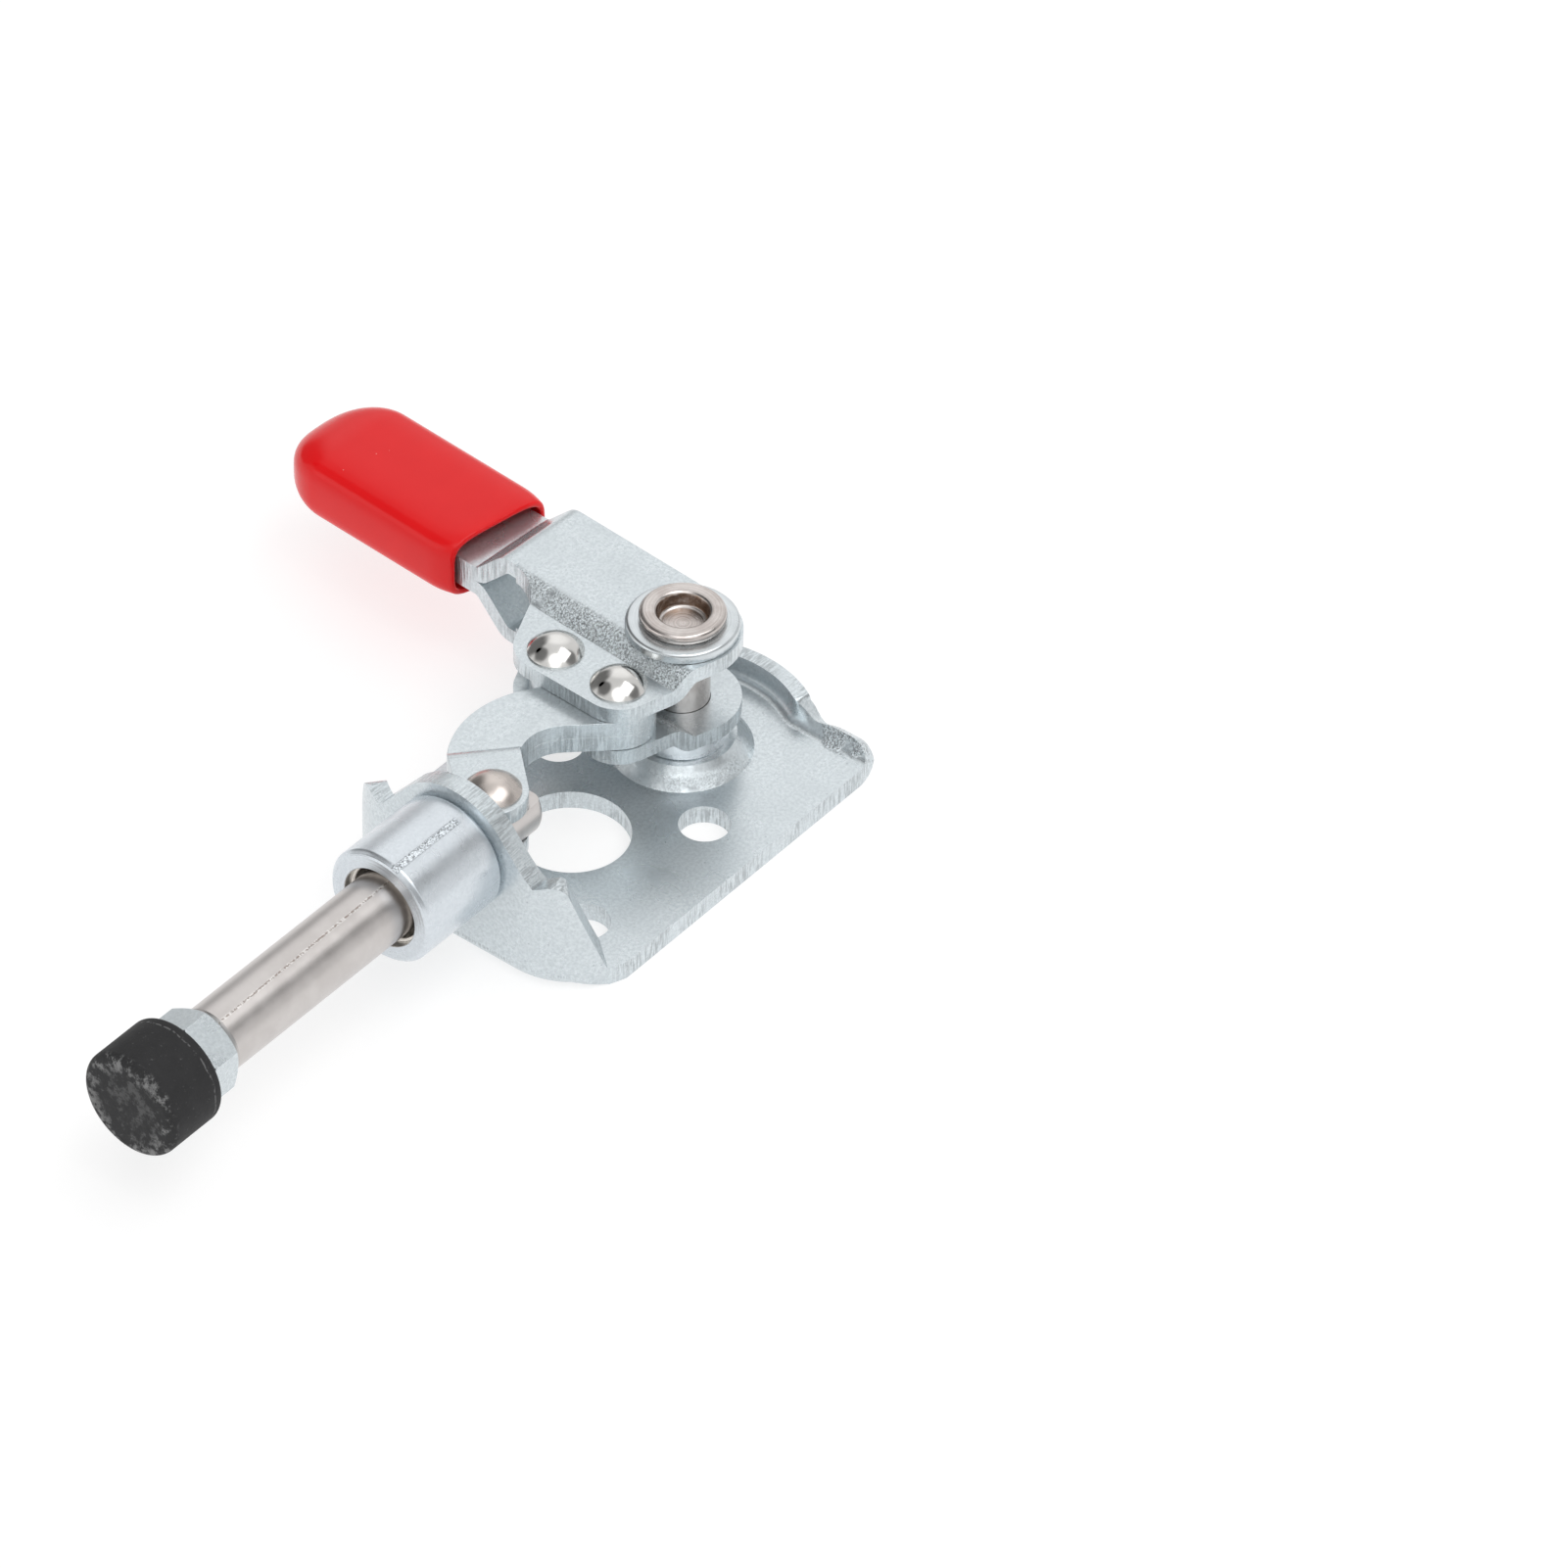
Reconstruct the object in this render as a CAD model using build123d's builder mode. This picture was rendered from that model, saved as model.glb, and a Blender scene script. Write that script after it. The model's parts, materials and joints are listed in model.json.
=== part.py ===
"""Small push-pull toggle clamp, drawn with the plunger run out.

Millimetres. +Z is up from the mounting face, +X points along the plunger to its rubber tip,
and the handle lies towards -Y. The origin is the centre of the four mounting holes, on the
underside of the base.
"""

from build123d import *
from math import asin, cos, degrees, radians, sin, tan
import os

os.makedirs("parts", exist_ok=True)

# ---- base plate ----------------------------------------------------------------------------
sheet = 1.8  # thickness of the stamped base
base_half_width = 13.9
hole_pitch = 16.0  # the mounting holes stand on a square
screw_hole_r = 2.25
window_r = 5.15  # round window between the mounting holes
axis_z = 10.4  # height of the plunger, and the middle of the stack of plates
flange_crown_r = 6.4
flank_angle = 47.7  # slope of the flange's shoulders
shoulder = (8.3, 10.4)  # Y, Z of the low point between flank and web
web_crown = (9.6, 11.0)  # the corner webs rise a little again beside it
web_corner_r = 7.5  # plan radius of the drawn front corners
web_corner_y = 6.5  # where that corner starts
web_sweep = 64  # degrees of the corner that the web follows
web_view = 40  # the web's falling edge is square to the wall at this angle
web_fall_top = -0.6  # along the wall, where the edge starts to fall
web_fall_foot = 2.95  # and where it meets the base
web_fall_r = 1.2
web_top_run = 2.2  # the cut starts this far before the corner's centre
front_corner_x = 9.6
bend_r = 1.5  # outside radius of the bend under the flange
bend_end_r = 0.1  # to which it has faded where the corner of the floor takes over
rim_r = 11.8  # upright rim round the back of the pivot
rim_top_z = 4.0
rim_bend_r = 2.2
rim_half_angle = 50  # the rim's end, where its top has fallen to the floor
rim_fall_angle = 35  # where it starts to fall
rim_low_angle = 43  # and where it meets the lip at the corner
rim_low_z = 2.5
lip_x = -22.4  # the rear corners curl up from here
lip_bend_r = 2.5
lip_angle = 42
lip_straight = 0.4
lip_width = 6.0
lip_inner_corner_r = 1.0

# ---- pivot ---------------------------------------------------------------------------------
pivot_x = -14.7
boss_foot_r = 6.3
boss_top_r = 4.8
boss_top_z = 3.5
boss_wall = 1.2
post_r = 2.45
post_foot_r = 3.4
post_foot_z = 0.5
post_head_r = 3.75
post_head_top_z = 16.9
post_head_edge_r = 0.45
post_bore_r = 2.2
post_bore_floor_z = 15.4
washer_r = 4.9
washer_thick = 0.9
washer_edge_r = 0.35
ring_r = 4.15

# ---- handle and link plates ----------------------------------------------------------------
plate = 1.5  # thickness of every handle and link plate
joint_gap = 0.05  # between faces that turn on each other
hinge_gap = 0.05  # radial clearance of a turning hole on its pin
crank = 7.9  # pivot to link pin
handle_turn = -3.7  # the handle's long axis, turned from -Y
handle_joggle = 1.45  # step between the pivot end and the riveted side
joggle_x = 3.9  # upper crease of that step
pivot_eye_r = 5.15
link_eye_r = 3.3
stop_rivet = (8.35, -6.85)
flange_corner = (7.9, -7.4)
flange_corner_r = 3.5
throat_tip = (5.2, -12.7)  # where the riveted side ends towards the grip
throat_start_y = -15.8
throat_bulge = (4.1, -14.2)
neck_left_x = -5.2
neck_right_x = 3.75
neck_bend_y = -17.4  # here each plate bends in until the two meet
neck_drop = 3.0
tang_end_y = -40.5
crease_r = 0.5  # inside radius of every crease in the plates

# ---- link ----------------------------------------------------------------------------------
link_length = 17.13
link_end_r = 3.2
fork_end_r = 3.0
link_back_r = 9.4
link_back_centre = (9.3, 0.9)
throat_r = 3.9
throat_centre = (8.6, 1.1)
arm_angle = 42  # the throat's side leaves the eye at the crank at this angle
fork_arm_angle = 135  # and meets the eye at the plunger at this one
fork_lift = 1.55  # each ply steps out by this to pass over the plunger's tang
fork_crease = (12.33, -4.77)  # a point on the first crease of that step
fork_climb_angle = 46.7  # direction in which the ply climbs

# ---- rivets --------------------------------------------------------------------------------
rivet_r = 1.5
dome_r = 2.45
dome_rise = 1.35
dome_rim = 0.15
stop_sleeve_r = 2.2

# ---- plunger, sleeve and tip ---------------------------------------------------------------
rod_r = 3.05
rod_tail = 3.306  # the rod runs on behind the fork pin by this
rod_length = 39.3
fork_clear = 0.294  # between the link's fork end and the flange, run out
rod_nose = 0.5
tang_half = 1.45
tang_length = 8.3  # the flats run on into the sleeve
tang_corner_r = 0.9
sleeve_r = 5.4
sleeve_length = 9.5
sleeve_spigot_r = 4.3
sleeve_edge = 0.4
sleeve_fit = 0.07
sleeve_bore_r = rod_r + sleeve_fit
sleeve_mouth_r = 3.75
mouth_depth = 0.9
relief_r = 3.45
relief_depth = 4.0
stud_r = 2.0
stud_length = 17.5
stud_hole_depth = 11.8
stud_hole_spare = 1.0
stud_head_r = 3.1
stud_head_thick = 1.2
nut_across_flats = 7.0
nut_thick = 3.2
nut_turn = 24
nut_chamfer = 30
seat_gap = 0.2  # between rod and nut, and nut and tip
tip_r = 4.9
tip_length = 6.1
tip_face_edge = 0.8
tip_back_edge = 0.5

# ---- grip ----------------------------------------------------------------------------------
grip_mouth_y = -22.0  # on the grip's own middle line
grip_mouth_turn = 6  # the mouth is cut a little out of square
grip_end_y = -44.5
grip_mid_x = -0.72
grip_half_width = 5.8
grip_ridge_half = 4.55
grip_mouth_half_height = 3.1
grip_half_height = 3.35
grip_ridge_r = 0.5
grip_nose_r = 3.8  # rounding of the closed end, seen from the side
grip_flare = 2.2  # depth of the open mouth in front of the tight pocket
grip_wall = 0.45

# ---- levels and places worked out from these -----------------------------------------------
flange_under_z = axis_z + plate + joint_gap  # the riveted side of the upper handle plate
handle_under_z = flange_under_z + handle_joggle
handle_top_z = handle_under_z + plate
fork_under_z = axis_z + fork_lift
fork_top_z = fork_under_z + plate
washer_z = handle_top_z + joint_gap
washer_top_z = washer_z + washer_thick
ring_top_z = 2 * axis_z - washer_z
link_turn = degrees(asin(crank * sin(radians(-handle_turn)) / link_length))

mid_plane = Plane.XY.offset(axis_z)
pivot_plane = Plane((pivot_x, 0, 0)).rotated((0, 0, handle_turn))
link_pin = pivot_plane.from_local_coords(Vector(crank, 0, 0))
stop_pin = pivot_plane.from_local_coords(Vector(*stop_rivet, 0))
link_plane = Plane(link_pin).rotated((0, 0, link_turn))
fork_pin = link_plane.from_local_coords(Vector(link_length, 0, 0))
rod_plane = Plane((0, 0, axis_z), x_dir=(0, 1, 0), z_dir=(1, 0, 0))
rod_axis = Axis((0, 0, axis_z), (1, 0, 0))

flange_back_x = fork_pin.X + fork_end_r + fork_clear
flange_face_x = flange_back_x + sheet
sleeve_front_x = flange_face_x + sleeve_length
rod_start_x = fork_pin.X - rod_tail
rod_end_x = rod_start_x + rod_length
stud_hole_end_x = rod_end_x - stud_hole_depth
stud_start_x = stud_hole_end_x + stud_hole_spare
stud_end_x = stud_start_x + stud_length
nut_x = rod_end_x + seat_gap
tip_back_x = nut_x + nut_thick + seat_gap
tip_face_x = tip_back_x + tip_length


def upright(origin, angle):
    """A vertical plane through origin whose local X runs level in the direction of angle."""
    along = Vector(1, 0, 0).rotate(Axis.Z, angle)
    return Plane(origin, x_dir=along, z_dir=along.cross(Vector(0, 0, 1)))


def pin_axis(point):
    return Axis(point, (0, 0, 1))


# ---- base ----------------------------------------------------------------------------------
# One half is made and mirrored. The flange and its corner web are a single wall: the plan
# gives its thickness, the front elevation its top edge, and a slanting cut lets the web fall
# away to the corner of the base.
web_centre_x = flange_face_x - web_corner_r
web_centre = (web_centre_x, web_corner_y)
lip_inner_y = base_half_width - lip_width
rim_inner_r = rim_r - sheet
floor_r = rim_r - rim_bend_r
rim_mid_r = rim_r - sheet / 2
rim_fall = rim_mid_r * radians(rim_half_angle - rim_fall_angle)
rim_low = rim_mid_r * radians(rim_half_angle - rim_low_angle)
rim_end = Vector(-rim_mid_r, 0).rotate(Axis.Z, -rim_half_angle) + Vector(pivot_x, 0)
lip_tip_x = lip_x - (lip_bend_r + sheet) * sin(radians(lip_angle)) - lip_straight * cos(radians(lip_angle))
with BuildPart() as rear_lip:
    with BuildSketch(Plane.XZ.offset(-lip_inner_y)):
        with BuildLine():
            top = CenterArc((lip_x, sheet + lip_bend_r), lip_bend_r, -90, -lip_angle)
            under = CenterArc((lip_x, sheet + lip_bend_r), lip_bend_r + sheet, -90, -lip_angle)
            Polyline(
                top @ 1,
                (top @ 1) + (top % 1) * lip_straight,
                (under @ 1) + (under % 1) * lip_straight,
                under @ 1,
            )
            Line(under @ 0, top @ 0)
        make_face()
    extrude(amount=-(base_half_width - lip_inner_y))
    with BuildSketch():
        with Locations((lip_tip_x, lip_inner_y)):
            Rectangle(2 * (lip_x - lip_tip_x), lip_width, align=(Align.MIN, Align.MIN))
        inner_corner = vertices().group_by(Axis.X)[0].sort_by(Axis.Y)[0]
        fillet(inner_corner, lip_inner_corner_r)
    extrude(amount=axis_z, mode=Mode.INTERSECT)



def bend_section(angle, radius):
    """What a bend of this radius leaves out of the web's lower corner."""
    with BuildSketch(upright((*web_centre, 0), angle)) as section:
        with BuildLine():
            bend = CenterArc((web_corner_r - radius, radius), radius, -90, 90)
            Polyline(
                bend @ 1,
                (web_corner_r + sheet, radius),
                (web_corner_r + sheet, -sheet),
                (web_corner_r - radius, -sheet),
                bend @ 0,
            )
        make_face()
    return section.sketch


bend_fade = loft(
    [
        bend_section(web_view, bend_r),
        bend_section((web_view + web_sweep) / 2, (bend_r + bend_end_r) / 2),
        bend_section(web_sweep, bend_end_r),
    ]
)

with BuildPart() as base_plate:
    with BuildSketch():
        with BuildLine():
            outer = CenterArc(web_centre, web_corner_r, 0, web_sweep)
            inner = CenterArc(web_centre, web_corner_r - sheet, 0, web_sweep)
            Line(outer @ 1, inner @ 1)
            Polyline(outer @ 0, (flange_face_x, 0), (flange_back_x, 0), inner @ 0)
        make_face()
    extrude(amount=axis_z + flange_crown_r)
    with BuildSketch(Plane.YZ.offset(web_centre_x)):
        with BuildLine():
            crown = CenterArc((0, axis_z), flange_crown_r, 90 - flank_angle, flank_angle)
            Polyline(
                crown @ 0,
                shoulder,
                web_crown,
                (base_half_width, web_crown[1]),
                (base_half_width, 0),
                (0, 0),
                crown @ 1,
            )
        make_face()
    extrude(amount=web_corner_r, mode=Mode.INTERSECT)
    with BuildSketch(upright((*web_centre, 0), web_view + 90)):
        with BuildLine():
            fall = FilletPolyline(
                (-web_top_run, web_crown[1]),
                (web_fall_top, web_crown[1]),
                (web_fall_foot, sheet),
                radius=web_fall_r,
            )
            Polyline(
                fall @ 1,
                (web_corner_r, sheet),
                (web_corner_r, 2 * axis_z),
                (-web_top_run, 2 * axis_z),
                fall @ 0,
            )
        make_face()
    extrude(amount=2 * web_corner_r, both=True, mode=Mode.SUBTRACT)
    fillet(edges().filter_by_position(Axis.Z, 0, 0).group_by(Axis.X)[-1], bend_r)
    with BuildSketch():
        with BuildLine():
            root = CenterArc(web_centre, web_corner_r - sheet, 0, web_view)
            edge = CenterArc(web_centre, web_corner_r, web_view, web_sweep - web_view)
            Line(root @ 1, edge @ 0)
            corner = TangentArc(edge @ 1, (front_corner_x, base_half_width), tangent=edge % 1)
            Polyline(corner @ 1, (lip_x, base_half_width), (lip_x, 0), (flange_back_x, 0), root @ 0)
        make_face()
        with Locations((pivot_x, 0)):
            Circle(floor_r)
        with Locations((0, -base_half_width)):
            Rectangle(6 * base_half_width, 2 * base_half_width, mode=Mode.SUBTRACT)
    extrude(amount=sheet)
    add(bend_fade, mode=Mode.SUBTRACT)
    with BuildSketch(upright((pivot_x, 0, 0), 180)):
        with BuildLine():
            outside = CenterArc((floor_r, rim_bend_r), rim_bend_r, -90, 90)
            inside = CenterArc((floor_r, rim_bend_r), rim_bend_r - sheet, -90, 90)
            Polyline(outside @ 1, (rim_r, rim_top_z), (rim_inner_r, rim_top_z), inside @ 1)
            Polyline(outside @ 0, (floor_r - sheet, 0), (floor_r - sheet, sheet), inside @ 0)
        make_face()
    revolve(axis=pin_axis((pivot_x, 0)), revolution_arc=-rim_half_angle)
    with BuildSketch(upright(rim_end, 90 - rim_half_angle)):
        with BuildLine():
            slope = FilletPolyline(
                (-2 * rim_fall, rim_top_z),
                (-rim_fall, rim_top_z),
                (-rim_low, rim_low_z),
                (0, sheet),
                radius=rim_top_z - rim_low_z,
            )
            Polyline(slope @ 1, (rim_fall, sheet), (rim_fall, axis_z), (-2 * rim_fall, axis_z), slope @ 0)
        make_face()
    extrude(amount=2 * sheet, both=True, mode=Mode.SUBTRACT)
    add(rear_lip.part)
    mirror(about=Plane.XZ)
    with BuildSketch(upright((pivot_x, 0, 0), 0)):
        Polygon((0, 0), (boss_foot_r, sheet), (boss_top_r, boss_top_z), (0, boss_top_z), align=None)
    revolve(axis=pin_axis((pivot_x, 0)))
    with BuildSketch(upright((pivot_x, 0, 0), 0)):
        Polygon(
            (0, 0),
            (boss_foot_r, 0),
            (boss_top_r - boss_wall, boss_top_z - sheet),
            (post_r, boss_top_z - sheet),
            (post_r, boss_top_z),
            (0, boss_top_z),
            align=None,
        )
    revolve(axis=pin_axis((pivot_x, 0)), mode=Mode.SUBTRACT)
    with BuildSketch():
        Circle(window_r)
        with GridLocations(hole_pitch, hole_pitch, 2, 2):
            Circle(screw_hole_r)
    extrude(amount=sheet, mode=Mode.SUBTRACT)
    with BuildSketch(rod_plane.offset(flange_back_x)):
        Circle(sleeve_spigot_r)
    extrude(amount=sheet, mode=Mode.SUBTRACT)
base_plate.part.label = "base_plate"
export_step(base_plate.part, "parts/base_plate.step")

with BuildPart() as guide_sleeve:
    with BuildSketch(upright((0, 0, axis_z), 0)):
        with BuildLine():
            Polyline(
                (flange_back_x, sleeve_bore_r),
                (flange_back_x, sleeve_spigot_r),
                (flange_face_x, sleeve_spigot_r),
                (flange_face_x, sleeve_r - sleeve_edge),
                (flange_face_x + sleeve_edge, sleeve_r),
                (sleeve_front_x - sleeve_edge, sleeve_r),
                (sleeve_front_x, sleeve_r - sleeve_edge),
                (sleeve_front_x, sleeve_mouth_r),
                (sleeve_front_x - mouth_depth, sleeve_mouth_r),
                (sleeve_front_x - mouth_depth, relief_r),
                (sleeve_front_x - relief_depth, relief_r),
                (sleeve_front_x - relief_depth, sleeve_bore_r),
                close=True,
            )
        make_face()
    revolve(axis=rod_axis)
guide_sleeve.part.label = "guide_sleeve"
export_step(guide_sleeve.part, "parts/guide_sleeve.step")

with BuildPart() as pivot_post:
    with BuildSketch(upright((pivot_x, 0, 0), 0)):
        with BuildLine():
            Polyline(
                (0, post_foot_z),
                (post_foot_r, post_foot_z),
                (post_foot_r, boss_top_z - sheet),
                (post_r, boss_top_z - sheet),
                (post_r, washer_top_z),
                (post_head_r, washer_top_z),
                (post_head_r, post_head_top_z - post_head_edge_r),
            )
            CenterArc((post_head_r - post_head_edge_r, post_head_top_z - post_head_edge_r), post_head_edge_r, 0, 90)
            Polyline(
                (post_head_r - post_head_edge_r, post_head_top_z),
                (post_bore_r, post_head_top_z),
                (post_bore_r, post_bore_floor_z),
                (0, post_bore_floor_z),
                (0, post_foot_z),
            )
        make_face()
    revolve(axis=pin_axis((pivot_x, 0)))
pivot_post.part.label = "pivot_post"
export_step(pivot_post.part, "parts/pivot_post.step")

with BuildPart() as spacer_ring:
    with BuildSketch(Plane((pivot_x, 0, boss_top_z))):
        Circle(ring_r)
        Circle(post_r, mode=Mode.SUBTRACT)
    extrude(amount=ring_top_z - boss_top_z)
spacer_ring.part.label = "spacer_ring"
export_step(spacer_ring.part, "parts/spacer_ring.step")

with BuildPart() as head_washer:
    with BuildSketch(Plane((pivot_x, 0, washer_z))):
        Circle(washer_r)
        Circle(post_r, mode=Mode.SUBTRACT)
    extrude(amount=washer_thick)
    fillet(edges().filter_by(GeomType.CIRCLE).group_by(Axis.Z)[-1].sort_by(SortBy.RADIUS)[-1], washer_edge_r)
head_washer.part.label = "head_washer"
export_step(head_washer.part, "parts/head_washer.step")

# ---- handle --------------------------------------------------------------------------------
# The upper plate is the plan outline cut from a strip with two joggles: one along its length,
# between the pivot end and the riveted side, and one across the neck. The lower plate is its
# mirror image about the middle of the stack.
handle_side = Plane(pivot_plane.origin, x_dir=pivot_plane.x_dir, z_dir=-pivot_plane.y_dir)
handle_end = Plane(pivot_plane.origin, x_dir=pivot_plane.y_dir, z_dir=pivot_plane.x_dir)
under_shift = plate * tan(radians(22.5))  # how far a 45 degree crease moves through the plate
with BuildPart() as handle_upper_plate:
    with BuildSketch(handle_side.offset(-pivot_eye_r - plate)):
        with BuildLine():
            top = FilletPolyline(
                (-2 * pivot_eye_r, handle_top_z),
                (joggle_x, handle_top_z),
                (joggle_x + handle_joggle, flange_under_z + plate),
                (2 * crank, flange_under_z + plate),
                radius=(crease_r + plate, crease_r),
            )
            under = FilletPolyline(
                (-2 * pivot_eye_r, handle_under_z),
                (joggle_x - under_shift, handle_under_z),
                (joggle_x + handle_joggle - under_shift, flange_under_z),
                (2 * crank, flange_under_z),
                radius=(crease_r, crease_r + plate),
            )
            Line(top @ 0, under @ 0)
            Line(top @ 1, under @ 1)
        make_face()
    extrude(amount=pivot_eye_r + plate - throat_start_y)
    with BuildSketch(handle_end.offset(-2 * pivot_eye_r)):
        with BuildLine():
            top = FilletPolyline(
                (throat_start_y, handle_top_z),
                (neck_bend_y, handle_top_z),
                (neck_bend_y - neck_drop, handle_top_z - neck_drop),
                (2 * tang_end_y, handle_top_z - neck_drop),
                radius=(crease_r + plate, crease_r),
            )
            under = FilletPolyline(
                (throat_start_y, handle_under_z),
                (neck_bend_y + under_shift, handle_under_z),
                (neck_bend_y - neck_drop + under_shift, axis_z),
                (2 * tang_end_y, axis_z),
                radius=(crease_r, crease_r + plate),
            )
            Line(top @ 0, under @ 0)
            Line(top @ 1, under @ 1)
        make_face()
    extrude(amount=2 * pivot_eye_r + neck_right_x)
    with BuildSketch(pivot_plane):
        with BuildSketch(mode=Mode.PRIVATE) as eyes:
            Circle(pivot_eye_r)
            with Locations((crank, 0)):
                Circle(link_eye_r)
            with Locations(flange_corner):
                Circle(flange_corner_r)
        with BuildLine(mode=Mode.PRIVATE) as waist:
            Line(throat_tip, (neck_left_x, throat_tip[1]))
        make_hull(eyes.sketch.edges() + waist.edges())
        with BuildLine():
            throat = ThreePointArc(throat_tip, throat_bulge, (neck_right_x, throat_start_y))
            Polyline(
                throat @ 1,
                (neck_right_x, tang_end_y),
                (neck_left_x, tang_end_y),
                (neck_left_x, throat_tip[1]),
                throat_tip,
            )
        make_face()
        Circle(post_r + hinge_gap, mode=Mode.SUBTRACT)
        with Locations((crank, 0), stop_rivet):
            Circle(rivet_r, mode=Mode.SUBTRACT)
    extrude(amount=2 * axis_z, mode=Mode.INTERSECT)
handle_upper_plate.part.label = "handle_upper_plate"
export_step(handle_upper_plate.part, "parts/handle_upper_plate.step")

with BuildPart() as handle_lower_plate:
    mirror(handle_upper_plate.part, about=mid_plane)
handle_lower_plate.part.label = "handle_lower_plate"
export_step(handle_lower_plate.part, "parts/handle_lower_plate.step")

# The grip is a dipped sleeve: a loft along the tang, closed by turning its own side profile
# half round. In front of the tight pocket for the two plates its mouth stands open.
grip_turn_y = grip_end_y + grip_half_width
grip_mid = pivot_plane.from_local_coords(Vector(grip_mid_x, 0, 0))
grip_plane = Plane(grip_mid + Vector(0, 0, axis_z), x_dir=pivot_plane.x_dir, z_dir=-pivot_plane.y_dir)
grip_mouth = grip_plane.offset(-grip_mouth_y).rotated((0, 0, grip_mouth_turn))


def grip_section(half_height):
    """Flat above and below between two soft ridges, with bulging sides."""
    with BuildSketch() as section:
        with BuildLine():
            top = Line((-grip_ridge_half, half_height), (grip_ridge_half, half_height))
            right = ThreePointArc(top @ 1, (grip_half_width, 0), (grip_ridge_half, -half_height))
            bottom = Line(right @ 1, (-grip_ridge_half, -half_height))
            ThreePointArc(bottom @ 1, (-grip_half_width, 0), top @ 0)
        make_face()
        fillet(vertices(), grip_ridge_r)
    return section.sketch


with BuildPart() as handle_grip:
    with BuildSketch(grip_mouth):
        add(grip_section(grip_mouth_half_height))
    with BuildSketch(grip_plane.offset(-grip_turn_y)):
        add(grip_section(grip_half_height))
    loft(ruled=True)
    with BuildSketch(grip_plane.offset(-grip_turn_y)):
        add(grip_section(grip_half_height))
        split(bisect_by=Plane.YZ)
    revolve(axis=pin_axis(grip_plane.offset(-grip_turn_y).origin), revolution_arc=-180)
    grip_side = Plane(grip_plane.origin, x_dir=grip_plane.z_dir, z_dir=-grip_plane.x_dir)
    with BuildSketch(grip_side.offset(-grip_half_width)):
        with Locations((-grip_end_y - grip_nose_r, 0)):
            Circle(grip_nose_r)
            Rectangle(-grip_end_y, 2 * grip_nose_r, align=(Align.MAX, Align.CENTER))
    extrude(amount=2 * grip_half_width, mode=Mode.INTERSECT)
    with BuildSketch(grip_mouth):
        RectangleRounded(
            2 * (grip_half_width - grip_wall),
            2 * (grip_mouth_half_height - grip_wall),
            grip_mouth_half_height - 2 * grip_wall,
        )
    extrude(amount=grip_flare, mode=Mode.SUBTRACT)
    with BuildSketch(handle_side.offset(-grip_mouth_y - grip_flare)):
        Polygon(
            (neck_left_x, axis_z - plate),
            (neck_right_x, axis_z - plate),
            (neck_right_x, axis_z + plate),
            (neck_left_x, axis_z + plate),
            align=None,
        )
    extrude(amount=grip_mouth_y + grip_flare - tang_end_y, mode=Mode.SUBTRACT)
handle_grip.part.label = "handle_grip"
export_step(handle_grip.part, "parts/handle_grip.step")


# ---- rivets --------------------------------------------------------------------------------
def rivet_end(point, start_z):
    """The shank from start_z up through a plate at the riveted level, closed by a domed head."""
    dome_curve_r = (dome_r**2 + (dome_rise - dome_rim) ** 2) / (2 * (dome_rise - dome_rim))
    with BuildPart() as end:
        with BuildSketch(upright(point, 0)):
            with BuildLine():
                side = Polyline(
                    (0, fork_top_z + dome_rise),
                    (0, start_z),
                    (rivet_r, start_z),
                    (rivet_r, fork_top_z),
                    (dome_r, fork_top_z),
                    (dome_r, fork_top_z + dome_rim),
                )
                RadiusArc(side @ 1, side @ 0, -dome_curve_r)
            make_face()
        revolve(axis=pin_axis(point))
    return end.part


with BuildPart() as link_rivet:
    add(rivet_end(link_pin, axis_z))
    mirror(about=mid_plane)
link_rivet.part.label = "link_rivet"
export_step(link_rivet.part, "parts/link_rivet.step")

with BuildPart() as stop_rivet_pin:
    add(rivet_end(stop_pin, axis_z))
    mirror(about=mid_plane)
stop_rivet_pin.part.label = "stop_rivet"
export_step(stop_rivet_pin.part, "parts/stop_rivet.step")

with BuildPart() as stop_sleeve:
    with BuildSketch(Plane(stop_pin + Vector(0, 0, 2 * axis_z - flange_under_z))):
        Circle(stop_sleeve_r)
        Circle(rivet_r, mode=Mode.SUBTRACT)
    extrude(amount=2 * (flange_under_z - axis_z))
stop_sleeve.part.label = "stop_sleeve"
export_step(stop_sleeve.part, "parts/stop_sleeve.step")

with BuildPart() as fork_rivet_upper:
    add(rivet_end(fork_pin, fork_under_z))
fork_rivet_upper.part.label = "fork_rivet_upper"
export_step(fork_rivet_upper.part, "parts/fork_rivet_upper.step")

with BuildPart() as fork_rivet_lower:
    mirror(fork_rivet_upper.part, about=mid_plane)
fork_rivet_lower.part.label = "fork_rivet_lower"
export_step(fork_rivet_lower.part, "parts/fork_rivet_lower.step")

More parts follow.
